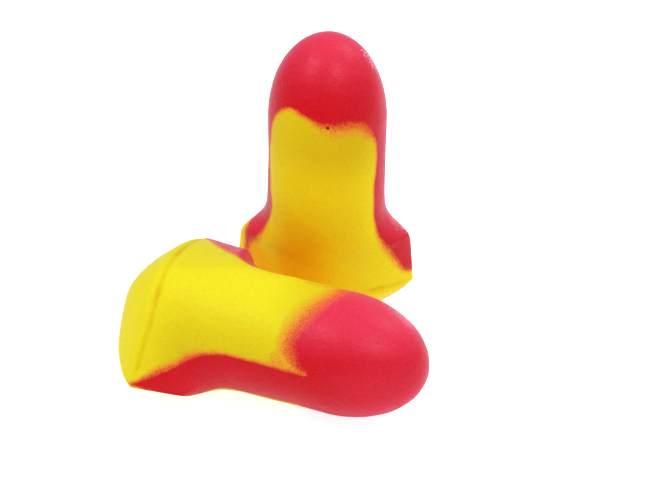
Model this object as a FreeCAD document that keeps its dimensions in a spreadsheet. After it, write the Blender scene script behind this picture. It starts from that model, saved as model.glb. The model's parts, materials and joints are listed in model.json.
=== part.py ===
import FreeCAD, Part
import Sketcher
import math
import os

# A pair of T-shaped foam ear plugs, each moulded from two colours of the same soft foam.
#
# Frame: the origin is the centre of the small flat that the upright plug stands on. +Z is up, along
# that plug's stem. +X runs along its two wings, and +Y from its front panel to its back panel.
#
# A plug, from the bottom up: a low domed end, a crease where the dome meets the sides, two wings that
# stand out left and right and thin down to an edge, a flare that brings the wings in to the stem, a
# round stem and an ellipsoid tip. Yellow foam fills the domed end and a core that runs from the front
# of the plug to its back, up to a hollow top edge. Magenta foam is the tip and both sides.

DIMENSIONS = {
    # The moulding, the same for both plugs.
    "stem_radius": 5.5,
    "total_length": 28.8,
    "tip_length": 8.0,
    "dome_height": 4.0,
    "panel_radius": 5.85,
    "wing_reach": 8.5,
    "wing_edge_radius": 0.35,
    "shoulder_reach": 8.13,
    "shoulder_rise": 4.7,
    "shoulder_round": 1.0,
    "neck_rise": 6.05,
    "neck_fillet": 3.2,
    "resting_flat_scale": 0.25,
    # The yellow core: its reach along the wings at the crease, and its rise to where it is narrowest.
    "core_foot_reach": 8.4,
    "core_neck_rise": 6.8,
    "core_margin": 1.0,
    "upright_core_half_width": 4.9,
    "upright_core_top": 22.6,
    "upright_core_hollow": 0.6,
    "lying_core_half_width": 4.7,
    "lying_core_top": 19.7,
    "lying_core_hollow": 1.7,
    # The lying plug: the heading of its tip, how far the tip dips, the roll about its own stem, and
    # where the middle of its crease is over the floor. All angles are in degrees.
    "lying_heading": -18.0,
    "lying_dip": 1.5,
    "lying_roll": -63.2,
    "lying_x": -13.5,
    "lying_y": -11.4,
}

# Cross-sections of the domed end, from the crease down to the resting flat: how large the outline is,
# and how far it lies below the crease as a share of the dome's height.
DOME_SECTIONS = [
    ("1", "0"),
    ("0.88", "0.32"),
    ("0.60", "0.72"),
    ("Dimensions.resting_flat_scale", "1"),
]

# How Sketcher names the two ends and the centre of a curve, the origin and the two axes.
START = 1
END = 2
CENTRE = 3
ORIGIN = (-1, 1)
HORIZONTAL_AXIS = -1
VERTICAL_AXIS = -2

document = FreeCAD.newDocument("foam_ear_plugs")
sheet = document.addObject("Spreadsheet::Sheet", "Dimensions")
for row, (name, number) in enumerate(DIMENSIONS.items(), start=1):
    sheet.set(f"A{row}", name)
    sheet.set(f"B{row}", str(number))
    sheet.setAlias(f"B{row}", name)
document.recompute()


def amount(expression):
    """The number that an expression of sheet cells comes to."""
    return float(sheet.evalExpression(expression))


# ---------------------------------------------------------------- sketching helpers


def new_sketch(body, name, role, height="0"):
    """An empty sketch on one of the body's own origin planes, raised by an expression."""
    plane = next(item for item in body.Origin.OriginFeatures if item.Role == role)
    sketch = body.newObject("Sketcher::SketchObject", name)
    sketch.AttachmentSupport = (plane, [""])
    sketch.MapMode = "FlatFace"
    sketch.setExpression("AttachmentOffset.Base.z", height)
    return sketch


def bind(sketch, kind, *terms, to):
    """Adds a dimension to a sketch and ties it to a sheet expression."""
    index = sketch.addConstraint(Sketcher.Constraint(kind, *terms, amount(to)))
    sketch.setExpression(f"Constraints[{index}]", to)


def locate(sketch, curve, end, across, up):
    """Holds one end of a curve at two expressions, measured from the sketch's origin."""
    places = (
        ("DistanceX", VERTICAL_AXIS, across),
        ("DistanceY", HORIZONTAL_AXIS, up),
    )
    for kind, axis, expression in places:
        if expression == "0":
            sketch.addConstraint(Sketcher.Constraint("PointOnObject", curve, end, axis))
        else:
            bind(sketch, kind, *ORIGIN, curve, end, to=expression)


def point(across, up):
    """A point of a sketch, from two expressions."""
    return FreeCAD.Vector(amount(across), amount(up), 0)


def draw_outline(sketch, corners, hollows=None):
    """Draws a closed outline, anticlockwise, each corner given as a pair of expressions. Side n runs
    from corner n to the next. It is straight, or if it is in hollows an arc that curves into the
    outline by that expression."""
    hollows = hollows or {}
    points = [point(across, up) for across, up in corners]
    following = points[1:] + points[:1]
    sides = []
    for number, (start, end) in enumerate(zip(points, following)):
        if number in hollows:
            inward = FreeCAD.Vector(start.y - end.y, end.x - start.x, 0).normalize()
            middle = (start + end) / 2 + inward * amount(hollows[number])
            curve = sketch.addGeometry(Part.Arc(start, middle, end), False)
            # Every arc is kept anticlockwise, so a hollow one starts where the outline leaves it.
            sides.append((curve, END, START))
        else:
            curve = sketch.addGeometry(Part.LineSegment(start, end), False)
            sides.append((curve, START, END))
    for number, (curve, first, last) in enumerate(sides):
        next_curve, next_first, _ = sides[(number + 1) % len(sides)]
        sketch.addConstraint(Sketcher.Constraint("Coincident", curve, last, next_curve, next_first))
        locate(sketch, curve, first, *corners[number])


def arc(centre_x, radius, start_angle, end_angle):
    circle = Part.Circle(FreeCAD.Vector(centre_x, 0, 0), FreeCAD.Vector(0, 0, 1), radius)
    return Part.ArcOfCircle(circle, start_angle, end_angle)


def draw_plug_outline(sketch, scale):
    """Draws a plug's cross-section at the wings, scaled by an expression. Its front and back panels
    are arcs about the stem's axis. Straight lines join them to the thin round edges of the wings."""
    panel = f"Dimensions.panel_radius * {scale}"
    edge = f"Dimensions.wing_edge_radius * {scale}"
    reach = f"(Dimensions.wing_reach - Dimensions.wing_edge_radius) * {scale}"
    panel_radius, edge_radius, edge_x = amount(panel), amount(edge), amount(reach)
    # A line that touches a panel arc and a wing's edge touches both at this angle from the X axis.
    touch = math.acos((panel_radius - edge_radius) / edge_x)
    arcs = [
        arc(edge_x, edge_radius, -touch, touch),
        arc(0, panel_radius, touch, math.pi - touch),
        arc(-edge_x, edge_radius, math.pi - touch, math.pi + touch),
        arc(0, panel_radius, math.pi + touch, 2 * math.pi - touch),
    ]
    curves = []
    for this_arc, next_arc in zip(arcs, arcs[1:] + arcs[:1]):
        curves.append(sketch.addGeometry(this_arc, False))
        bridge = Part.LineSegment(this_arc.EndPoint, next_arc.StartPoint)
        curves.append(sketch.addGeometry(bridge, False))
    for curve, next_curve in zip(curves, curves[1:] + curves[:1]):
        sketch.addConstraint(Sketcher.Constraint("Tangent", curve, END, next_curve, START))
    right_edge, back_panel, left_edge, front_panel = curves[::2]
    for wing_edge, place in ((right_edge, reach), (left_edge, f"-{reach}")):
        bind(sketch, "Radius", wing_edge, to=edge)
        locate(sketch, wing_edge, CENTRE, place, "0")
    for panel_arc in (back_panel, front_panel):
        bind(sketch, "Radius", panel_arc, to=panel)
        locate(sketch, panel_arc, CENTRE, "0", "0")


def round_edge(body, name, height, radius):
    """Fillets the circular edge of a turned body that lies at a height."""
    base = body.Tip
    found = [
        f"Edge{number}"
        for number, edge in enumerate(base.Shape.Edges, start=1)
        if isinstance(edge.Curve, Part.Circle) and abs(edge.Curve.Center.z - amount(height)) < 0.01
    ]
    fillet = body.newObject("PartDesign::Fillet", name)
    fillet.Base = (base, found)
    fillet.setExpression("Radius", radius)
    document.recompute()


# ---------------------------------------------------------------- the moulding


def turn_moulding(body, prefix):
    """The plug as it would be if it were round: a skirt as wide as the wings, the flare, the stem."""
    crease = "Dimensions.dome_height"
    stem_top = "Dimensions.total_length - Dimensions.tip_length"
    profile = new_sketch(body, f"{prefix}_profile", "XZ_Plane")
    draw_outline(
        profile,
        [
            ("0", crease),
            ("Dimensions.wing_reach", crease),
            ("Dimensions.shoulder_reach", f"{crease} + Dimensions.shoulder_rise"),
            ("Dimensions.stem_radius", f"{crease} + Dimensions.neck_rise"),
            ("Dimensions.stem_radius", stem_top),
            ("0", stem_top),
        ],
    )
    turned = body.newObject("PartDesign::Revolution", f"{prefix}_turned")
    turned.Profile = profile
    turned.ReferenceAxis = (profile, ["V_Axis"])
    turned.Angle = 360
    document.recompute()
    shoulder = f"{crease} + Dimensions.shoulder_rise"
    neck = f"{crease} + Dimensions.neck_rise"
    round_edge(body, f"{prefix}_shoulder_round", shoulder, "Dimensions.shoulder_round")
    round_edge(body, f"{prefix}_neck_fillet", neck, "Dimensions.neck_fillet")


def add_tip(body, prefix):
    """Half an ellipsoid on the end of the stem."""
    tip = body.newObject("PartDesign::AdditiveEllipsoid", f"{prefix}_tip")
    plane = next(item for item in body.Origin.OriginFeatures if item.Role == "XY_Plane")
    tip.AttachmentSupport = (plane, [""])
    tip.MapMode = "FlatFace"
    tip.setExpression("AttachmentOffset.Base.z", "Dimensions.total_length - Dimensions.tip_length")
    tip.setExpression("Radius1", "Dimensions.tip_length")
    tip.setExpression("Radius2", "Dimensions.stem_radius")
    tip.setExpression("Radius3", "Dimensions.stem_radius")
    tip.Angle1 = 0
    tip.Angle2 = 90
    tip.Angle3 = 360
    document.recompute()


def trim_to_wings(body, prefix):
    """Cuts the round skirt back to the plug's outline, which leaves the two wings."""
    before = body.Shape.Volume
    trim = new_sketch(body, f"{prefix}_trim_outline", "XY_Plane", "Dimensions.dome_height")
    draw_plug_outline(trim, "1")
    surround_radius = "2 * Dimensions.wing_reach"
    surround = Part.Circle(FreeCAD.Vector(0, 0, 0), FreeCAD.Vector(0, 0, 1), amount(surround_radius))
    rim = trim.addGeometry(surround, False)
    bind(trim, "Radius", rim, to=surround_radius)
    locate(trim, rim, CENTRE, "0", "0")
    pocket = body.newObject("PartDesign::Pocket", f"{prefix}_trim")
    pocket.Profile = trim
    pocket.Reversed = True
    pocket.setExpression("Length", "2 * Dimensions.neck_rise")
    document.recompute()
    if pocket.Shape.Volume > 0.95 * before:
        raise RuntimeError(f"{pocket.Label} cut nothing")


def add_dome(body, prefix):
    """The domed end, lofted down from the crease to the resting flat."""
    sections = []
    for number, (scale, drop) in enumerate(DOME_SECTIONS, start=1):
        height = f"Dimensions.dome_height * (1 - {drop})"
        section = new_sketch(body, f"{prefix}_dome_section_{number}", "XY_Plane", height)
        draw_plug_outline(section, scale)
        sections.append(section)
    dome = body.newObject("PartDesign::AdditiveLoft", f"{prefix}_dome")
    dome.Profile = sections[0]
    dome.Sections = sections[1:]
    document.recompute()


def make_moulding(prefix):
    """One whole plug, before its two colours are told apart."""
    body = document.addObject("PartDesign::Body", f"{prefix}_moulding")
    turn_moulding(body, prefix)
    add_tip(body, prefix)
    trim_to_wings(body, prefix)
    add_dome(body, prefix)
    return body


# ---------------------------------------------------------------- the two colours


def make_core(prefix):
    """A prism, front to back, that holds everything yellow: the domed end, a panel that narrows from
    the wings to the stem, and a top edge that hollows downward in the middle."""
    body = document.addObject("PartDesign::Body", f"{prefix}_core")
    sketch = new_sketch(body, f"{prefix}_core_outline", "XZ_Plane")
    below = "-Dimensions.core_margin"
    outside = "(Dimensions.wing_reach + Dimensions.core_margin)"
    crease = "Dimensions.dome_height"
    foot = "Dimensions.core_foot_reach"
    neck = "Dimensions.dome_height + Dimensions.core_neck_rise"
    half = f"Dimensions.{prefix}_core_half_width"
    top = f"Dimensions.{prefix}_core_top"
    hollow = f"Dimensions.{prefix}_core_hollow"
    corners = [
        (f"-{outside}", below),
        (outside, below),
        (outside, crease),
        (foot, crease),
        (half, neck),
        (half, top),
        (f"-{half}", top),
        (f"-{half}", neck),
        (f"-{foot}", crease),
        (f"-{outside}", crease),
    ]
    top_edge = 5
    draw_outline(sketch, corners, {top_edge: hollow})
    bind(sketch, "Radius", top_edge, to=f"({half} ^ 2 + {hollow} ^ 2) / (2 * {hollow})")
    pad = body.newObject("PartDesign::Pad", f"{prefix}_core_pad")
    pad.Profile = sketch
    pad.SideType = "Symmetric"
    pad.setExpression("Length", "4 * Dimensions.panel_radius")
    document.recompute()
    return body


def split_colours(prefix, placement):
    """The two foams of a plug: yellow where the moulding and the core overlap, magenta elsewhere."""
    moulding = make_moulding(prefix)
    core = make_core(prefix)
    yellow = document.addObject("Part::Common", f"{prefix}_plug_yellow_foam")
    magenta = document.addObject("Part::Cut", f"{prefix}_plug_magenta_foam")
    for foam in (yellow, magenta):
        foam.Base = moulding
        foam.Tool = core
        foam.Label = foam.Name
        foam.Placement = placement
    document.recompute()
    return [yellow, magenta]


# ---------------------------------------------------------------- where the plugs are


def lying_placement():
    """Turns a plug on its side about the middle of its crease, and sets it down on the floor."""
    z_axis = FreeCAD.Vector(0, 0, 1)
    y_axis = FreeCAD.Vector(0, 1, 0)
    heading = FreeCAD.Rotation(z_axis, amount("Dimensions.lying_heading"))
    fall = FreeCAD.Rotation(y_axis, 90 + amount("Dimensions.lying_dip"))
    roll = FreeCAD.Rotation(z_axis, amount("Dimensions.lying_roll"))
    turn = heading * fall * roll
    crease = turn.multVec(FreeCAD.Vector(0, 0, amount("Dimensions.dome_height")))
    place = FreeCAD.Vector(amount("Dimensions.lying_x"), amount("Dimensions.lying_y"), 0) - crease
    return FreeCAD.Placement(place, turn)


def set_on_floor(pieces):
    """Lowers or lifts pieces together until the lowest of them touches the floor."""
    lowest = min(piece.Shape.optimalBoundingBox(False, False).ZMin for piece in pieces)
    for piece in pieces:
        piece.Placement.Base.z -= lowest
    document.recompute()


upright = split_colours("upright", FreeCAD.Placement())
lying = split_colours("lying", lying_placement())
set_on_floor(lying)

for item in document.Objects:
    if "Invalid" in item.State or "Error" in item.State:
        raise RuntimeError(f"{item.Name} failed: {item.State}")
for foam in upright + lying:
    if foam.Shape.isNull() or not foam.Shape.isValid() or len(foam.Shape.Solids) != 1:
        raise RuntimeError(f"{foam.Label} is not one sound solid")

os.makedirs("parts", exist_ok=True)
for foam in upright + lying:
    foam.Shape.exportStep(f"parts/{foam.Label}.step")
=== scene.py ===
import json
import math

import bpy
import numpy as np
from mathutils import Matrix, Vector, noise


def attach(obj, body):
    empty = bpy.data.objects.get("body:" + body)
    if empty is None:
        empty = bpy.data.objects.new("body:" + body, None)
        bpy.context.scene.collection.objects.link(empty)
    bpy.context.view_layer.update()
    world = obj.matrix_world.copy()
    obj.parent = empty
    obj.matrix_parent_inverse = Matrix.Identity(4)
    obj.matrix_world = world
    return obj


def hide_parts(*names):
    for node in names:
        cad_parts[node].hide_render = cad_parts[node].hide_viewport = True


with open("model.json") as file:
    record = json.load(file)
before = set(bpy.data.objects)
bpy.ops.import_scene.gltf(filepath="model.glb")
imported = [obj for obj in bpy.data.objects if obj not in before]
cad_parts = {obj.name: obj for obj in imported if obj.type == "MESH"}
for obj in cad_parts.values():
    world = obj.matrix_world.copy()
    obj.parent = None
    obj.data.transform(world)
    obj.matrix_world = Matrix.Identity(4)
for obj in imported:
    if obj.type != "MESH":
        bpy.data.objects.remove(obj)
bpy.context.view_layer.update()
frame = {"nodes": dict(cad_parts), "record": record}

# Two foam ear plugs, one standing and one lying. Each plug's skin is a fine grid of rings, made in the
# plug's own coordinates in millimetres: X along the wings, Y from the front panel to the back one, and
# Z along the stem from the bottom of the domed end to the tip. The skin is cut into its yellow and its
# magenta foam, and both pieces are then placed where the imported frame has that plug.

MM = 0.001


def smooth_rise(low, high, value):
    """0 below low, 1 above high and a smooth change between them."""
    share = np.clip((value - low) / (high - low), 0, 1)
    return share * share * (3 - 2 * share)


def smooth_fall(low, high, value):
    return 1 - smooth_rise(low, high, value)


def soft_minimum(a, b, softness):
    return 0.5 * (a + b - np.sqrt((a - b) ** 2 + softness**2))


def bell(distance, width):
    """1 at distance 0, fading out over about width."""
    return np.exp(-((distance / width) ** 2))


def following(number, count):
    """The next number of a closed ring."""
    return (number + 1) % count


# ---------------------------------------------------------------- where the frame has each plug

# Roughly which way each plug's right wing points.
RIGHT_WING = {"upright": (1, 0, 0), "lying": (0, 0, -1)}
# A vertex is at a wing's tip when it is at least this share of the wings' reach from the axis.
WING_TIP_SHARE = 0.99


def mount_called(name):
    return next(mount for mount in frame["record"]["mounts"] if mount["name"] == name)


def node_points(names):
    """Every vertex of some CAD nodes, in millimetres."""
    meshes = [frame["nodes"][name].data for name in names]
    return np.array([vertex.co for mesh in meshes for vertex in mesh.vertices]) / MM


def read_plug(prefix):
    """One plug's place and sizes, from its stem mount and the vertices of its two CAD nodes."""
    stem = mount_called(f"{prefix}_stem")
    axis = np.array(stem["axis"], float)
    on_axis = np.array(stem["pos_m"], float) / MM
    points = node_points([f"{prefix}_plug_yellow_foam", f"{prefix}_plug_magenta_foam"])
    along = (points - on_axis) @ axis
    outward = points - on_axis - along[:, None] * axis
    reach = np.linalg.norm(outward, axis=1)
    wing_tips = outward[reach > WING_TIP_SHARE * reach.max()]
    right = np.array(RIGHT_WING[prefix], float)
    x_axis = (wing_tips * np.sign(wing_tips @ right)[:, None]).mean(0)
    x_axis /= np.linalg.norm(x_axis)
    base = on_axis + along.min() * axis
    place = np.eye(4)
    place[:3] = np.column_stack([x_axis, np.cross(axis, x_axis), axis, base])
    return {
        "place": place,
        "stem_radius": stem["dims"]["r_mm"],
        "wing_reach": reach.max(),
        "stem_top": along.max() - along.min() - DOME_HEIGHT - TIP_LENGTH,
        "crease": CREASE[prefix],
    }


# ---------------------------------------------------------------- the moulding's shape, in mm

# Heights here are over the crease plane, where the domed end meets the sides.
DOME_HEIGHT = 4.0
DOME_POWER = 0.79
TIP_LENGTH = 8.0
# The wings draw in by their draft for each millimetre of height. The flare brings them in to the stem.
WING_DRAFT = 0.08
FLARE_SLOPE = 1.985
FLARE_START = 6.12
FLARE_SOFTNESS = 0.70
SHOULDER_SOFTNESS = 0.50
FOLD_SOFTNESS = 1.0
# The panels bulge out a little from the stem, most at the crease.
PANEL_BULGE = 0.56
PANEL_BULGE_TOP = 13.2
# The outline at the wings: 2 and 2 would be an ellipse, and lower powers are more like a diamond.
PANEL_CORNER = 1.25
WING_CORNER = 1.20
RIDGE_ROUNDING = 0.28
# The crease arches over the panels. The lying plug's runs askew: it waves, and it climbs towards the left
# wing by its tilt for each millimetre across.
CREASE = {
    "upright": {"arch": 0.95, "wave": 0.0, "tilt": 0.0},
    "lying": {"arch": 0.50, "wave": 0.9, "tilt": 0.041},
}

RING_POINTS = 288
DOME_ROWS = 62
SIDE_ROWS = 150
TIP_ROWS = 85
# Powers above 1 close the rows up towards the crease, where the skin turns sharply.
DOME_CROWDING = 1.5
SIDE_CROWDING = 1.25


def round_ridge(across, power):
    """across to a power, from 0 to 1, but level at 0, so that the middle of a panel has no ridge."""
    low = RIDGE_ROUNDING**power
    high = (1 + RIDGE_ROUNDING**2) ** (power / 2)
    return ((across**2 + RIDGE_ROUNDING**2) ** (power / 2) - low) / (high - low)


def ring(turn, z, plug):
    """Points of the moulding's outline at heights z over the crease plane. Where the wings stand out,
    the circle of the stem becomes a lemon shape with a thin edge at each end."""
    stem = plug["stem_radius"]
    reach = plug["wing_reach"]
    flare = stem + FLARE_SLOPE * FLARE_SOFTNESS * np.logaddexp(0, (FLARE_START - z) / FLARE_SOFTNESS)
    wing = soft_minimum(flare, reach - WING_DRAFT * z, SHOULDER_SOFTNESS)
    panel = stem + PANEL_BULGE * np.clip(1 - z / PANEL_BULGE_TOP, 0, None) ** 2
    tip = np.sqrt(1 - np.clip((z - plug["stem_top"]) / TIP_LENGTH, 0, 1) ** 2)
    spread = soft_minimum(flare, reach, FOLD_SOFTNESS)
    winged = np.clip((spread - stem) / (reach - stem), 0, 1)
    panel_power = 2 + (PANEL_CORNER - 2) * winged
    wing_power = 2 + (WING_CORNER - 2) * winged
    across = np.abs(np.cos(turn)) ** (2 / panel_power)
    deep = np.clip(1 - round_ridge(across, panel_power), 0, 1) ** (1 / wing_power)
    return wing * tip * across * np.sign(np.cos(turn)), panel * tip * deep * np.sign(np.sin(turn))


def crease_height(x, plug):
    """The crease's height over the crease plane."""
    crease = plug["crease"]
    across = np.clip(x / plug["wing_reach"], -1, 1)
    arch = (crease["arch"] + crease["wave"] * across) * (1 - across**2)
    return arch + crease["tilt"] * plug["wing_reach"] * (1 - across)


def smooth_grid(plug):
    """The moulding's skin as rows of points, from the bottom of the dome to the tip, and the row number
    of the crease."""
    turn = np.linspace(0, 2 * math.pi, RING_POINTS, endpoint=False)
    x, _ = ring(turn, np.zeros(RING_POINTS), plug)
    crease = crease_height(x, plug)
    x, y = ring(turn, crease, plug)
    rows = []
    for inset in np.linspace(1, 0, DOME_ROWS, endpoint=False) ** DOME_CROWDING:
        share = 1 - inset
        drop = (1 - share**2) ** DOME_POWER
        rows.append(np.stack([x * share, y * share, crease - (DOME_HEIGHT + crease) * drop], 1))
    crease_row = len(rows)
    for share in np.linspace(0, 1, SIDE_ROWS, endpoint=False) ** SIDE_CROWDING:
        z = crease + (plug["stem_top"] - crease) * share
        rows.append(np.stack([*ring(turn, z, plug), z], 1))
    for angle in np.linspace(0, math.pi / 2, TIP_ROWS, endpoint=False):
        z = np.full(RING_POINTS, plug["stem_top"] + TIP_LENGTH * math.sin(angle))
        rows.append(np.stack([*ring(turn, z, plug), z], 1))
    grid = np.array(rows)
    grid[:, :, 2] += DOME_HEIGHT
    return grid, crease_row


# ---------------------------------------------------------------- the foam's relief

# Layers of smooth noise: how long their features are and how far they stand out.
UNDULATION = (4.5, 0.07)
DIMPLES = (1.3, 0.016)
GRAIN = (0.34, 0.007)
# Where a plug's noise starts, for each unit of its seed.
NOISE_STEP = np.array([1.3, 2.1, 3.7])
# The crease is a groove of uneven depth with a raised lip on the dome beside it. Both run out between
# these shares of the wings' reach.
GROOVE_WIDTH = 0.27
GROOVE_DEPTH = 0.18
GROOVE_SHARE = 0.65
GROOVE_UNEVENNESS = 0.6
GROOVE_NOISE_LENGTH = 2.2
LIP_PLACE = -0.85
LIP_WIDTH = 0.50
LIP_HEIGHT = 0.11
CREASE_END = (0.82, 0.97)
PORE_COUNT = 34
PORE_RADIUS = (0.08, 0.13)
PORE_DEPTH = 0.035
# One open pore at the edge of the standing plug's magenta tip.
OPEN_PORE_PLACE = (0.31, 22.0)
OPEN_PORE_RADIUS = 0.22
OPEN_PORE_DEPTH = 0.12


def grid_normals(grid):
    round_way = np.roll(grid, -1, 1) - np.roll(grid, 1, 1)
    up_way = np.gradient(grid, axis=0)
    normals = np.cross(round_way, up_way)
    return normals / np.maximum(np.linalg.norm(normals, axis=2, keepdims=True), 1e-9)


def noise_at(points, length, shift):
    """Smooth noise between -1 and 1, with features about as long as length."""
    offset = Vector(shift)
    return np.array([noise.noise(Vector(point) / length + offset) for point in points])


def scatter_pores(grid, prefix, seed):
    """Small pits: each one's centre, radius and depth."""
    random = np.random.default_rng(seed)
    points = grid.reshape(-1, 3)
    chosen = points[random.integers(0, len(points), PORE_COUNT)]
    pores = [(centre, random.uniform(*PORE_RADIUS), PORE_DEPTH) for centre in chosen]
    if prefix == "upright":
        front = points[points[:, 1] < 0]
        nearest = front[np.argmin(np.linalg.norm(front[:, [0, 2]] - OPEN_PORE_PLACE, axis=1))]
        pores.append((nearest, OPEN_PORE_RADIUS, OPEN_PORE_DEPTH))
    return pores


def crease_fade(across, plug):
    """The crease is deepest along the panels and runs out at the wing tips."""
    return smooth_fall(*CREASE_END, np.abs(across) / plug["wing_reach"])


def crease_relief(grid, crease_row, plug, shift):
    """How far the crease's lip and groove stand out from the skin, or into it below 0."""
    from_crease = np.linalg.norm(grid - grid[crease_row], axis=2)
    from_crease[:crease_row] *= -1
    uneven = GROOVE_SHARE + GROOVE_UNEVENNESS * noise_at(grid[crease_row], GROOVE_NOISE_LENGTH, shift)
    groove = GROOVE_DEPTH * uneven * bell(from_crease, GROOVE_WIDTH)
    lip = LIP_HEIGHT * bell(from_crease - LIP_PLACE, LIP_WIDTH)
    return (lip - groove) * crease_fade(grid[crease_row, :, 0], plug)


def add_relief(grid, crease_row, plug, seed):
    """Moves the skin along its normals: slow undulation, shallow dimples, fine grain, pores and the
    crease."""
    points = grid.reshape(-1, 3)
    shift = NOISE_STEP * seed
    height = sum(depth * noise_at(points, length, shift) for length, depth in (UNDULATION, DIMPLES, GRAIN))
    for centre, radius, depth in plug["pores"]:
        height -= depth * bell(np.linalg.norm(points - centre, axis=1), radius)
    height = height.reshape(grid.shape[:2]) + crease_relief(grid, crease_row, plug, shift)
    return grid + grid_normals(grid) * height[:, :, None]


# ---------------------------------------------------------------- meshes


def mesh_of(name, points, faces):
    mesh = bpy.data.meshes.new(name)
    mesh.from_pydata([tuple(point) for point in points], [], faces)
    mesh.update()
    return mesh


def closed_skin(name, grid):
    """A closed mesh from rows of rings, with a fan of faces at each end."""
    rows, columns, _ = grid.shape
    points = grid.reshape(-1, 3)
    bottom = len(points)
    top = bottom + 1
    half_row = (0, 0, 0.5 * (grid[-1, 0, 2] - grid[-2, 0, 2]))
    ends = [grid[0].mean(0), grid[-1].mean(0) + half_row]
    faces = []
    last = (rows - 1) * columns
    for low in range(0, last, columns):
        high = low + columns
        for column in range(columns):
            beside = following(column, columns)
            faces.append((low + column, low + beside, high + beside, high + column))
    for column in range(columns):
        beside = following(column, columns)
        faces.append((beside, column, bottom))
        faces.append((last + column, last + beside, top))
    return mesh_of(name, np.vstack([points, ends]), faces)


# ---------------------------------------------------------------- where the colours meet

# The edge of each plug's yellow panel, seen from its front: up the side of the right wing, along the
# stem, over the top and down the left. Across and up, in millimetres.
PANEL_EDGES = {
    "upright": [
        (8.55, 3.7), (8.25, 4.6), (7.45, 5.9), (6.35, 8.1), (4.90, 10.9), (4.62, 14.5), (4.74, 19.0),
        (3.75, 21.6), (2.30, 22.15), (0.50, 22.1), (-1.60, 22.8), (-3.20, 23.2), (-4.60, 21.9),
        (-5.14, 18.5), (-5.10, 14.8), (-4.95, 12.6), (-5.15, 11.3), (-5.65, 10.1), (-6.45, 9.0),
        (-7.05, 8.2), (-7.35, 7.2), (-7.85, 6.2), (-8.80, 5.2),
    ],
    "lying": [
        (8.45, 3.7), (8.10, 4.6), (7.45, 5.9), (6.35, 8.1), (4.90, 10.9), (4.62, 14.5), (4.64, 19.5),
        (4.15, 18.5), (2.75, 17.9), (0.25, 18.9), (-1.60, 19.8), (-4.00, 20.2), (-4.85, 18.4),
        (-4.80, 14.0), (-4.75, 10.9), (-5.85, 8.4), (-7.20, 5.9), (-8.75, 3.1),
    ],
}
EDGE_STEPS = 10
CUTTER_MARGIN = 6.0
# The yellow reaches further round at the back: the outline widens behind this depth, by this much per
# millimetre.
BACK_EDGE = {"upright": (-1.15, 0.052), "lying": (-0.3, 0.07)}
# Low on one wing of each plug it widens faster and wraps over the edge: which side, and how fast.
WRAPPED_WING = {"upright": (-1, 0.95), "lying": (1, 0.40)}
WRAP_TOP = (8.2, 9.8)
# Where the skin runs almost along the cutter's wall, distances over it grow no further than this allows.
LEAST_STEEPNESS = 0.15


def smooth_line(points):
    """A Catmull-Rom curve through points."""
    points = np.array(points, float)
    ends = np.vstack([2 * points[0] - points[1], points, 2 * points[-1] - points[-2]])
    line = []
    for a, b, c, d in zip(ends, ends[1:], ends[2:], ends[3:]):
        for t in np.linspace(0, 1, EDGE_STEPS, endpoint=False):
            square = (2 * a - 5 * b + 4 * c - d) * t**2
            cube = (3 * b - a - 3 * c + d) * t**3
            line.append(0.5 * (2 * b + (c - a) * t + square + cube))
    return np.array(line + [points[-1]])


def panel_outline(prefix):
    """The closed outline of everything yellow, seen from the front, anticlockwise."""
    edge = smooth_line(PANEL_EDGES[prefix])
    side = edge[0, 0] + CUTTER_MARGIN
    around_the_dome = [
        (-side, edge[-1, 1]),
        (-side, -CUTTER_MARGIN),
        (side, -CUTTER_MARGIN),
        (side, edge[0, 1]),
    ]
    return np.vstack([edge, around_the_dome])


def widening(x, y, z, prefix):
    """How much wider the outline is at each place than at the front, and how fast that grows with depth."""
    start, slow = BACK_EDGE[prefix]
    side, fast = WRAPPED_WING[prefix]
    on_wing = (x * side > 0) * smooth_fall(*WRAP_TOP, z)
    rate = (slow + (fast - slow) * on_wing) * (y > start)
    return 1 + rate * (y - start), rate


def panel_cutter(prefix):
    """A prism with the panel's outline, from in front of the plug to behind it."""
    outline = panel_outline(prefix)
    count = len(outline)
    depths = (-2 * CUTTER_MARGIN, BACK_EDGE[prefix][0], 2 * CUTTER_MARGIN)
    points = [(x * widening(x, y, z, prefix)[0], y, z) for y in depths for x, z in outline]
    faces = [tuple(range(count)), tuple(range(3 * count - 1, 2 * count - 1, -1))]
    for layer in (0, count):
        for number in range(count):
            beside = following(number, count)
            faces.append((layer + beside, layer + number, layer + count + number, layer + count + beside))
    return bpy.data.objects.new("panel_cutter", mesh_of("panel_cutter", points, faces))


def outline_gaps(flat, outline):
    """For points on the outline's plane: how far each is from the outline, the way there as a vector
    from the outline, and whether it is inside."""
    nearest = np.full(len(flat), np.inf)
    away = np.zeros_like(flat)
    inside = np.zeros(len(flat), bool)
    for a, b in zip(outline, np.roll(outline, -1, 0)):
        side = b - a
        share = np.clip((flat - a) @ side / (side @ side), 0, 1)
        gap = flat - (a + share[:, None] * side)
        distance = np.linalg.norm(gap, axis=1)
        closer = distance < nearest
        nearest[closer] = distance[closer]
        away[closer] = gap[closer]
        if side[1]:
            crosses = (a[1] > flat[:, 1]) != (b[1] > flat[:, 1])
            inside ^= crosses & (flat[:, 0] < a[0] + side[0] * (flat[:, 1] - a[1]) / side[1])
    return nearest, away, inside


def colour_distance(points, normals, prefix):
    """How far each point of the skin is from the colours' edge, in millimetres over the surface, more
    than 0 in the magenta."""
    x, y, z = points.T
    wider, rate = widening(x, y, z, prefix)
    nearest, away, inside = outline_gaps(np.stack([x / wider, z], 1), panel_outline(prefix))
    across, up = away.T / np.maximum(nearest, 1e-6)
    gradient = np.stack([across / wider, -across * x * rate / wider**2, up], 1)
    steepness = (gradient**2).sum(1) - (gradient * normals).sum(1) ** 2
    return np.where(inside, -1, 1) * nearest / np.sqrt(np.maximum(steepness, LEAST_STEEPNESS))


# ---------------------------------------------------------------- what the material reads at each point

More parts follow.
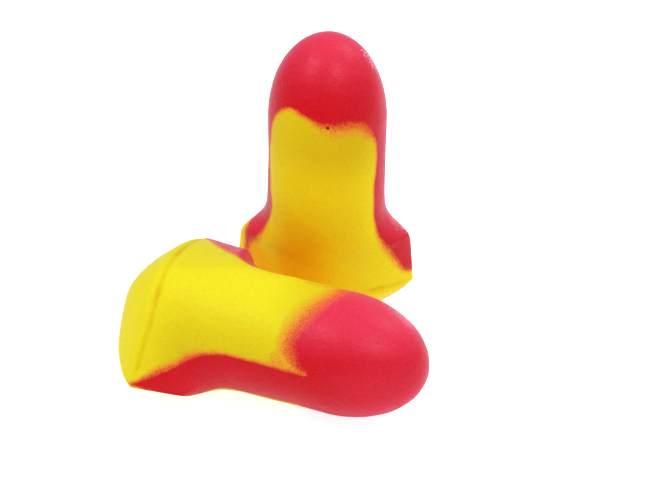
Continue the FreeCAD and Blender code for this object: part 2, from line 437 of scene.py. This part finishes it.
# Half the width of the change from yellow to magenta: crisp along the stem, softer on the wings between
# their foot and their head, and softest over the tip.
SIDE_SOFTNESS = 0.40
WING_SOFTNESS = 0.75
WING_FOOT = (4.5, 6.5)
WING_HEAD = (8.0, 12.0)
# Over the tip: the height where it starts, and how soft the left and right half are.
TIP_SOFTNESS = {"upright": (19.5, 0.45, 1.4), "lying": (15.5, 2.0, 2.0)}
TIP_FADE = 1.5
TIP_HALVES = (-2.0, 2.0)
TIP_SIDES = (3.8, 4.8)

# How much deeper than lemon the yellow is painted, from 0 for lemon to 1 for orange. On the standing plug
# this is painted shade: deeper overall as its front faces sideways, deepest along its middle away from its
# brighter sides, and orange at its lower left as painted shade and warm bounce light where the lying plug
# in front shades it, but for a paler patch beside the wing, painted as light above that shade's edge. The
# lying plug's is an even, slight tone.
LYING_STAIN = 0.03
UPRIGHT_PAINTED_SHADE = 0.18
MIDDLE_PAINTED_SHADE = 0.14
MIDDLE_SIDES = (2.0, 5.0)
SHADE_TOP = (8.0, 15.5)
SHADE_BACK = (-1.0, 1.0)
ORANGE_PAINTED_SHADE = 0.40
ORANGE_SIDE = (-3.0, 3.5)
WING_PAINTED_SHADE = 0.14
WING_SHADE_SIDE = (-6.2, -4.6)
ORANGE_END = (-8.3, -7.3)
PALE_PATCH = 0.36
PALE_PLACE = (-5.5, 8.7)
PALE_SIZE = (1.1, 0.9)

# Where the yellow is dulled: as painted shade on the lying plug's lower side, which faces down, beside its
# lower edge but not on its dome; and by the magenta nearby towards both tips, a little less at the
# standing one's sides.
LOWER_SIDE = (0.0, 5.5)
OFF_THE_DOME = (2.5, 8.5)
LYING_TIP_HAZE = 0.6
LYING_TIP_START = (14.0, 18.5)
UPRIGHT_TIP_START = (14.5, 20.0)
UPRIGHT_MIDDLE = 0.8
UPRIGHT_SIDES = (1.5, 4.8)
CLEARER_SIDES = 0.3

# Painted light: the skin's upward tilt where its colour begins to be painted as lit, and where it is
# painted fully lit.
LIT_TILT = (0.12, 1.0)


def edge_softness(points, prefix):
    """How soft the change between the colours is at each point."""
    x, z = points[:, 0], points[:, 2]
    start, left, right = TIP_SOFTNESS[prefix]
    tip = left + (right - left) * smooth_rise(*TIP_HALVES, x)
    over_tip = smooth_rise(start, start + TIP_FADE, z) * smooth_fall(*TIP_SIDES, np.abs(x))
    on_wing = smooth_rise(*WING_FOOT, z) * smooth_fall(*WING_HEAD, z)
    return SIDE_SOFTNESS + (tip - SIDE_SOFTNESS) * over_tip + (WING_SOFTNESS - SIDE_SOFTNESS) * on_wing


def tone_and_painted_shade(points, prefix):
    """How much deeper than lemon the yellow is at each point: painted shade on the standing plug, an even
    slight tone on the lying one.
    """
    x, y, z = points.T
    if prefix == "lying":
        return np.full(len(points), LYING_STAIN)
    # Painted shade: the standing plug deeper overall, and most along its middle, away from its brighter
    # sides.
    middle = UPRIGHT_PAINTED_SHADE + MIDDLE_PAINTED_SHADE * smooth_fall(*MIDDLE_SIDES, np.abs(x))
    # Painted shade and warm bounce light where the lying plug in front shades the lower left front; the
    # pale patch is painted light above that shade's edge.
    orange = ORANGE_PAINTED_SHADE * smooth_fall(*ORANGE_SIDE, x) + WING_PAINTED_SHADE * smooth_fall(*WING_SHADE_SIDE, x)
    orange *= smooth_rise(*ORANGE_END, x)
    pale = PALE_PATCH * bell(x - PALE_PLACE[0], PALE_SIZE[0]) * bell(z - PALE_PLACE[1], PALE_SIZE[1])
    low_front = smooth_fall(*SHADE_TOP, z) * smooth_fall(*SHADE_BACK, y)
    return middle + low_front * (orange - pale)


def dulling_and_lower_shade(points, prefix):
    """How much the yellow is dulled: painted shade on the lying plug's lower side, and the magenta near
    both tips.
    """
    x, _, z = points.T
    if prefix == "lying":
        # Painted shade on the lying plug's lower side, which faces the floor.
        lower = smooth_rise(*LOWER_SIDE, x) * smooth_rise(*OFF_THE_DOME, z)
        return np.maximum(lower, LYING_TIP_HAZE * smooth_rise(*LYING_TIP_START, z))
    sides = smooth_rise(*UPRIGHT_SIDES, np.abs(x - UPRIGHT_MIDDLE))
    return smooth_rise(*UPRIGHT_TIP_START, z) * (1 - CLEARER_SIDES * sides)


def crease_line(points, plug):
    """How close each point is to the bottom of the crease's groove: 1 in it, 0 away from it."""
    above = points[:, 2] - DOME_HEIGHT - crease_height(points[:, 0], plug)
    return bell(above, GROOVE_WIDTH) * crease_fade(points[:, 0], plug)


def pore_marks(points, pores):
    """How deep each point is in a pore, as a share of the open pore's depth."""
    marks = np.zeros(len(points))
    for centre, radius, depth in pores:
        pit = bell(np.linalg.norm(points - centre, axis=1), radius)
        marks = np.maximum(marks, depth / OPEN_PORE_DEPTH * pit)
    return marks


def read_vectors(vertices, name):
    values = np.empty(len(vertices) * 3)
    vertices.foreach_get(name, values)
    return values.reshape(-1, 3)


def add_colour_data(mesh, prefix, plug):
    """Stores what the foam material reads. The painted light is 1 where the skin faces up and 0 at its
    sides, where the foam's colour is painted deeper as painted shade."""
    points = read_vectors(mesh.vertices, "co")
    normals = read_vectors(mesh.vertices, "normal")
    data = {
        "edge_distance": colour_distance(points, normals, prefix),
        "edge_softness": edge_softness(points, prefix),
        "painted_light": smooth_rise(*LIT_TILT, normals @ plug["place"][2, :3]),
        "yellow_tone_and_painted_shade": tone_and_painted_shade(points, prefix),
        "dulling_and_painted_shade": dulling_and_lower_shade(points, prefix),
        # Closeness to the crease's groove, where painted shade darkens the yellow.
        "groove": crease_line(points, plug),
        "pore": pore_marks(points, plug["pores"]),
    }
    for name, values in data.items():
        attribute = mesh.attributes.new(name, "FLOAT", "POINT")
        attribute.data.foreach_set("value", np.ascontiguousarray(values, np.float32))


# ---------------------------------------------------------------- materials


def linear(red, green, blue):
    """A colour written as 0 to 255, as the linear colour that nodes want."""
    share = np.array([red, green, blue]) / 255
    low = share / 12.92
    high = ((share + 0.055) / 1.055) ** 2.4
    return (*np.where(share <= 0.04045, low, high), 1.0)


class Nodes:
    """Short calls for building a material's nodes."""

    def __init__(self, name):
        self.material = bpy.data.materials.new(name)
        self.material.use_nodes = True
        self.tree = self.material.node_tree
        self.shader = self.tree.nodes["Principled BSDF"]

    def add(self, kind, **settings):
        node = self.tree.nodes.new(kind)
        for key, value in settings.items():
            setattr(node, key, value)
        return node

    def feed(self, socket, value):
        if isinstance(value, bpy.types.NodeSocket):
            self.tree.links.new(value, socket)
        else:
            socket.default_value = value

    def shade(self, values):
        """Feeds the shader's inputs, by name."""
        for name, value in values.items():
            self.feed(self.shader.inputs[name], value)

    def maths(self, operation, *values):
        node = self.add("ShaderNodeMath", operation=operation)
        for socket, value in zip(node.inputs, values):
            self.feed(socket, value)
        return node.outputs[0]

    def attribute(self, name):
        return self.add("ShaderNodeAttribute", attribute_name=name).outputs["Fac"]

    def position(self):
        """Where a point is in its piece, in millimetres."""
        place = self.add("ShaderNodeTexCoord").outputs["Object"]
        scale = self.add("ShaderNodeVectorMath", operation="SCALE")
        self.feed(scale.inputs[0], place)
        self.feed(scale.inputs["Scale"], 1 / MM)
        return scale.outputs[0]

    def noise(self, length, detail=2.0, roughness=0.5):
        """Noise with features about as long as length in millimetres."""
        node = self.add("ShaderNodeTexNoise")
        self.feed(node.inputs["Vector"], self.position())
        self.feed(node.inputs["Scale"], 1 / length)
        self.feed(node.inputs["Detail"], detail)
        self.feed(node.inputs["Roughness"], roughness)
        return node.outputs["Fac"]

    def cells(self, length):
        """The distance to the nearest of many scattered points, about length apart."""
        node = self.add("ShaderNodeTexVoronoi")
        self.feed(node.inputs["Vector"], self.position())
        self.feed(node.inputs["Scale"], 1 / length)
        return node.outputs["Distance"]

    def between(self, value, low, high, to_low=0.0, to_high=1.0):
        node = self.add("ShaderNodeMapRange")
        for socket, number in zip(node.inputs, (value, low, high, to_low, to_high)):
            self.feed(socket, number)
        return node.outputs["Result"]

    def uneven(self, pattern, low, high, spread=0.2):
        """A noise stretched to run from low to high. It strays from 0.5 by about the spread."""
        return self.between(pattern, 0.5 - spread, 0.5 + spread, low, high)

    def mix(self, share, first, second, blend="MIX"):
        node = self.add("ShaderNodeMix", data_type="RGBA", blend_type=blend)
        self.feed(node.inputs["Factor"], share)
        self.feed(node.inputs["A"], first)
        self.feed(node.inputs["B"], second)
        return node.outputs["Result"]

    def grey(self, value):
        node = self.add("ShaderNodeCombineColor")
        for socket in node.inputs:
            self.feed(socket, value)
        return node.outputs["Color"]

    def ramp(self, value, stops):
        """A colour ramp through stops, each a place from 0 to 1 and a colour."""
        node = self.add("ShaderNodeValToRGB")
        elements = node.color_ramp.elements
        for place, _ in stops[2:]:
            elements.new(place)
        for element, (place, colour) in zip(elements, stops):
            element.position = place
            element.color = colour
        self.feed(node.inputs["Fac"], value)
        return node.outputs["Color"]

    def bump(self, height, distance, under=None):
        node = self.add("ShaderNodeBump")
        self.feed(node.inputs["Distance"], distance)
        self.feed(node.inputs["Height"], height)
        if under is not None:
            self.feed(node.inputs["Normal"], under)
        return node.outputs["Normal"]


LEMON = linear(241, 230, 36)
# DEEP_YELLOW and ORANGE are the yellow painted deeper, mostly as painted shade.
DEEP_YELLOW = linear(244, 213, 24)
ORANGE = linear(248, 156, 6)
# OLIVE: the yellow dulled by the magenta near the tips, and painted shade on the lying plug's lower side.
OLIVE = linear(196, 156, 14)
# Painted shade in the crease's groove.
CREASE_SHADE_YELLOW = linear(224, 188, 6)
BLEND_ORANGE = linear(238, 137, 50)
# MAGENTA is the magenta painted as lit; DEEP_RED is its painted shade, and its own colour near the yellow.
MAGENTA = linear(236, 52, 82)
DEEP_RED = linear(208, 2, 16)
# Painted shade inside the open pore's pit.
PORE_SHADE = linear(112, 24, 10)
SPECK_SHADE = (0.62, 0.20, 0.18, 1)
WHITE = (1, 1, 1, 1)

# Painted shade: how much deeper the yellow is painted where the skin faces sideways, and at most how much
# its mottling shifts it.
PAINTED_SHADE_DEPTH = 0.12
MOTTLE = 0.05
# How far the dulling, partly painted shade, takes the yellow towards olive.
MOST_DULLING = 0.5
# Painted shade in the crease's groove: how much of its colour shows, from least to most along the crease.
CREASE_SHADE_RANGE = (0.35, 0.85)
# The magenta nears its lit colour, by this share at most, between these distances from the yellow.
RED_BAND = (0.3, 6.0)
RED_BAND_SHARE = 0.4
# How far the edge between the colours wanders, in millimetres, and how far the speckle breaks the change
# up, as a share of its softness.
WANDER = 0.06
SPECKLE = 0.20
# Where, over the change from 0 to 1, yellow turns to orange and orange to magenta.
TO_ORANGE = (0.0, 0.42)
TO_MAGENTA = (0.30, 0.64)
YELLOW_SHADES = (0.95, 1.04)
MAGENTA_SHADES = (0.86, 1.08)
# Dark specks in the last yellow before the magenta: their spacing, how far from a cell's middle they
# fade, where they begin and end, and how strong they are at a crisp and at a soft change.
SPECK_SPACING = 0.22
SPECK_EDGE = (0.27, 0.15)
SPECKS_BEGIN = (-2.0, -0.3)
SPECKS_END = (0.1, -0.2)
SPECK_SOFTNESS = (0.4, 0.9)
SPECK_STRENGTH = (0.25, 0.9)
# The share of the open pore's depth from which a pit is painted dark, as painted shade in its hollow.
DARK_DEPTH = (0.45, 0.62)

# The noises: how long their features are in millimetres, then their detail and roughness.
MOTTLE_NOISE = (2.4, 3.0)
CREASE_NOISE = (1.5, 2.0)
WANDER_NOISE = (1.4, 2.0)
SPECKLE_NOISE = (0.16, 3.0, 0.65)
SHADE_NOISE = (0.24, 4.0, 0.7)
ROUGHNESS_NOISE = (0.8, 2.0)
GRAIN_NOISE = (0.22, 3.0, 0.6)
CREASE_NOISE_SPREAD = 0.15

ROUGHNESS = (0.27, 0.37)
SHEEN_ROUGHNESS = 0.4
SHEEN_TINT = (1.0, 0.15, 0.80, 1)
# The skin's open cells: their spacing, and where each one's slope begins and ends, from its middle.
CELL_SPACING = 0.5
CELL_EDGE = (0.06, 0.3)
# How high the cells' edges and the grain stand, in millimetres.
CELL_HEIGHT = 0.014
GRAIN_HEIGHT = 0.042


def yellow_colour(nodes):
    """Lemon where painted as lit; deeper as painted shade where the skin faces sideways and over much of
    the standing plug; orange as painted shade at its lower left; dulled towards olive, on the lying plug's
    lower side as painted shade; and darker as painted shade along the crease.
    """
    mottle = nodes.uneven(nodes.noise(*MOTTLE_NOISE), -MOTTLE, MOTTLE)
    # Painted shade: the yellow is painted deeper where the skin faces sideways.
    shade = nodes.between(nodes.attribute("painted_light"), 0.0, 1.0, PAINTED_SHADE_DEPTH, 0.0)
    yellow_tone_and_painted_shade = nodes.maths("ADD", nodes.maths("ADD", shade, nodes.attribute("yellow_tone_and_painted_shade")), mottle)
    colour = nodes.ramp(yellow_tone_and_painted_shade, [(0.0, LEMON), (0.5, DEEP_YELLOW), (1.0, ORANGE)])
    # Dulled towards olive: painted shade on the lying plug's lower side, and the magenta's dulling near the
    # tips.
    colour = nodes.mix(nodes.maths("MULTIPLY", nodes.attribute("dulling_and_painted_shade"), MOST_DULLING), colour, OLIVE)
    # Painted shade darkens the yellow along the crease's groove.
    crease_shade = nodes.uneven(nodes.noise(*CREASE_NOISE), *CREASE_SHADE_RANGE, CREASE_NOISE_SPREAD)
    return nodes.mix(nodes.maths("MULTIPLY", nodes.attribute("groove"), crease_shade), colour, CREASE_SHADE_YELLOW)


def magenta_colour(nodes, distance):
    """Magenta where the skin faces up, as painted light; deep red at its sides as painted shade, and deep
    red near the yellow as the foam's own colour.
    """
    away = nodes.between(distance, *RED_BAND, 0.0, RED_BAND_SHARE)
    # Painted light and shade: magenta where the skin faces up, deep red where it faces sideways.
    share = nodes.maths("MAXIMUM", nodes.attribute("painted_light"), away)
    return nodes.mix(share, DEEP_RED, MAGENTA)


def speck_share(nodes, distance, softness):
    """Where the dark specks are, most where the change between the colours is soft."""
    begun = nodes.between(distance, *SPECKS_BEGIN)
    not_ended = nodes.between(distance, *SPECKS_END)
    strength = nodes.between(softness, *SPECK_SOFTNESS, *SPECK_STRENGTH)
    near = nodes.maths("MULTIPLY", nodes.maths("MULTIPLY", begun, not_ended), strength)
    return nodes.maths("MULTIPLY", nodes.between(nodes.cells(SPECK_SPACING), *SPECK_EDGE), near)


def foam_colour(nodes):
    """Yellow to magenta by the distance to the colours' edge, with a speckled change between them."""
    distance = nodes.attribute("edge_distance")
    softness = nodes.attribute("edge_softness")
    wander = nodes.uneven(nodes.noise(*WANDER_NOISE), -WANDER, WANDER)
    speckle = nodes.uneven(nodes.noise(*SPECKLE_NOISE), -SPECKLE, SPECKLE)
    change = nodes.maths("DIVIDE", nodes.maths("ADD", distance, wander), softness)
    change = nodes.between(nodes.maths("ADD", change, speckle), -1.0, 1.0)

    coarse = nodes.noise(*SHADE_NOISE)
    yellow_shade = nodes.grey(nodes.uneven(coarse, *YELLOW_SHADES))
    magenta_shade = nodes.grey(nodes.uneven(coarse, *MAGENTA_SHADES))
    yellow = nodes.mix(1.0, yellow_colour(nodes), yellow_shade, "MULTIPLY")
    magenta = nodes.mix(1.0, magenta_colour(nodes, distance), magenta_shade, "MULTIPLY")
    colour = nodes.mix(nodes.between(change, *TO_ORANGE), yellow, BLEND_ORANGE)
    colour = nodes.mix(nodes.between(change, *TO_MAGENTA), colour, magenta)
    colour = nodes.mix(speck_share(nodes, distance, softness), colour, SPECK_SHADE, "MULTIPLY")
    # Painted shade in the open pore.
    return nodes.mix(nodes.between(nodes.attribute("pore"), *DARK_DEPTH), colour, PORE_SHADE)


def foam(name, ior, sheen_weight):
    """Slow-recovery foam: a satin skin with a fine grain and tiny open pores."""
    nodes = Nodes(name)
    normal = nodes.bump(nodes.between(nodes.cells(CELL_SPACING), *CELL_EDGE), CELL_HEIGHT * MM)
    normal = nodes.bump(nodes.noise(*GRAIN_NOISE), GRAIN_HEIGHT * MM, normal)
    nodes.shade({
        "Base Color": foam_colour(nodes),
        "Roughness": nodes.uneven(nodes.noise(*ROUGHNESS_NOISE), *ROUGHNESS),
        "IOR": ior,
        "Sheen Weight": sheen_weight,
        "Sheen Roughness": SHEEN_ROUGHNESS,
        "Sheen Tint": SHEEN_TINT,
        "Normal": normal,
    })
    return nodes.material


FLOOR_SHADE = (0.86, 0.86, 0.86, 1)
FLOOR_ROUGHNESS = 0.8
# How much the floor glows on the plugs, and how much for the camera, to stay white with light shadows.
FLOOR_GLOW = (0.30, 0.85)


def floor_material():
    nodes = Nodes("white_floor")
    seen = nodes.add("ShaderNodeLightPath").outputs["Is Camera Ray"]
    nodes.shade({
        "Base Color": FLOOR_SHADE,
        "Roughness": FLOOR_ROUGHNESS,
        "Emission Color": WHITE,
        "Emission Strength": nodes.between(seen, 0.0, 1.0, *FLOOR_GLOW),
    })
    return nodes.material


# ---------------------------------------------------------------- the plugs

SHARP_EDGE = math.radians(40)
FLOOR_LEVEL = 0.0


def press_on_floor(grid, place):
    """Where the skin would sink under the floor it is pressed flat against it."""
    world = grid.reshape(-1, 3) @ place[:3, :3].T + place[:3, 3]
    world[:, 2] = np.maximum(world[:, 2], FLOOR_LEVEL)
    return ((world - place[:3, 3]) @ place[:3, :3]).reshape(grid.shape)


def cut_piece(name, skin, cutter, operation):
    piece = bpy.data.objects.new(name, skin.copy())
    bpy.context.scene.collection.objects.link(piece)
    cut = piece.modifiers.new("colour edge", "BOOLEAN")
    cut.object = cutter
    cut.operation = operation
    cut.solver = "MANIFOLD"
    shown = piece.evaluated_get(bpy.context.evaluated_depsgraph_get())
    piece.data = bpy.data.meshes.new_from_object(shown)
    piece.data.name = name
    piece.modifiers.clear()
    return piece


def make_plug(prefix, seed, materials):
    plug = read_plug(prefix)
    grid, crease_row = smooth_grid(plug)
    plug["pores"] = scatter_pores(grid, prefix, seed)
    grid = add_relief(grid, crease_row, plug, seed)
    grid = press_on_floor(grid, plug["place"])
    skin = closed_skin(f"{prefix}_skin", grid)
    cutter = panel_cutter(prefix)
    bpy.context.scene.collection.objects.link(cutter)
    to_world = Matrix.Scale(MM, 4) @ Matrix(plug["place"].tolist())
    for colour, operation in (("yellow", "INTERSECT"), ("magenta", "DIFFERENCE")):
        piece = cut_piece(f"{prefix}_plug_{colour}_foam_skin", skin, cutter, operation)
        add_colour_data(piece.data, prefix, plug)
        piece.data.transform(to_world)
        piece.data.set_sharp_from_angle(angle=SHARP_EDGE)
        piece.data.materials.clear()
        piece.data.materials.append(materials[colour])
        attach(piece, f"{prefix}_plug")
        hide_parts(f"{prefix}_plug_{colour}_foam")
    bpy.data.objects.remove(cutter)


# ---------------------------------------------------------------- floor, light and camera

FLOOR_HALF = 600
FLOOR_DROP = 0.02


def make_floor():
    sides = ((-1, -1), (1, -1), (1, 1), (-1, 1))
    corners = [Vector((x * FLOOR_HALF, y * FLOOR_HALF, -FLOOR_DROP)) * MM for x, y in sides]
    mesh = mesh_of("floor", corners, [(0, 1, 2, 3)])
    mesh.materials.append(floor_material())
    floor = bpy.data.objects.new("floor", mesh)
    bpy.context.scene.collection.objects.link(floor)


# Each square soft light: where it is and how wide, in millimetres, and its power in watts.
SOFTBOXES = {
    "left softbox": ((-156, -90, 240), 30, 0.25),
    "front softbox": ((108, -150, 237), 30, 0.19),
    "right softbox": ((156, 126, 223), 22, 0.12),
    "low back light": ((130, 262, 12), 18, 0.04),
}
# The studio glows most from its bright side, above and behind the plugs. It dims with the cosine of the
# angle from there, down to the cosine of its dim side.
BRIGHT_SIDE = (0.56, 0.34, 0.76)
DIM_SIDE = -0.3
BRIGHT_GLOW = 0.68
DIM_GLOW = 0.36


def add_softboxes():
    """Soft lights that face the plugs."""
    for name, (place, size, power) in SOFTBOXES.items():
        light = bpy.data.lights.new(name, "AREA")
        light.shape = "SQUARE"
        light.size = size * MM
        light.energy = power
        lamp = bpy.data.objects.new(name, light)
        lamp.location = Vector(place) * MM
        lamp.rotation_euler = (-lamp.location).to_track_quat("-Z", "Y").to_euler()
        bpy.context.scene.collection.objects.link(lamp)


def add_studio():
    world = bpy.data.worlds.new("white studio")
    world.use_nodes = True
    tree = world.node_tree
    direction = tree.nodes.new("ShaderNodeTexCoord").outputs["Generated"]
    towards = tree.nodes.new("ShaderNodeVectorMath")
    towards.operation = "DOT_PRODUCT"
    towards.inputs[1].default_value = BRIGHT_SIDE
    tree.links.new(direction, towards.inputs[0])
    glow = tree.nodes.new("ShaderNodeMapRange")
    glow.inputs["From Min"].default_value = DIM_SIDE
    glow.inputs["To Min"].default_value = DIM_GLOW
    glow.inputs["To Max"].default_value = BRIGHT_GLOW
    tree.links.new(towards.outputs["Value"], glow.inputs["Value"])
    tree.links.new(glow.outputs["Result"], tree.nodes["Background"].inputs["Strength"])
    tree.nodes["Background"].inputs["Color"].default_value = WHITE
    bpy.context.scene.world = world
    bpy.context.scene.view_settings.view_transform = "Standard"


# The camera's target and distance are in millimetres.
CAMERA_TARGET = (-0.27, -0.01, 7.52)
CAMERA_AZIMUTH = math.radians(3.32)
CAMERA_ELEVATION = math.radians(28.5)
CAMERA_DISTANCE = 170.7
CAMERA_ROLL = math.radians(0.85)
LENS = 99.8
SENSOR_WIDTH = 36


def add_camera():
    data = bpy.data.cameras.new("camera")
    data.lens = LENS
    data.sensor_width = SENSOR_WIDTH
    data.clip_start = 1 * MM
    camera = bpy.data.objects.new("camera", data)
    flat = math.cos(CAMERA_ELEVATION)
    back = Vector((
        math.sin(CAMERA_AZIMUTH) * flat,
        -math.cos(CAMERA_AZIMUTH) * flat,
        math.sin(CAMERA_ELEVATION),
    ))
    camera.location = (Vector(CAMERA_TARGET) + back * CAMERA_DISTANCE) * MM
    turn = (-back).to_track_quat("-Z", "Y").to_matrix() @ Matrix.Rotation(CAMERA_ROLL, 3, "Z")
    camera.rotation_euler = turn.to_euler()
    bpy.context.scene.collection.objects.link(camera)
    bpy.context.scene.camera = camera


# ---------------------------------------------------------------- the scene

foams = {
    "yellow": foam("yellow_foam", ior=1.10, sheen_weight=0.0),
    "magenta": foam("magenta_foam", ior=1.24, sheen_weight=0.20),
}
make_plug("upright", 11, foams)
make_plug("lying", 23, foams)
make_floor()
add_studio()
add_softboxes()
add_camera()
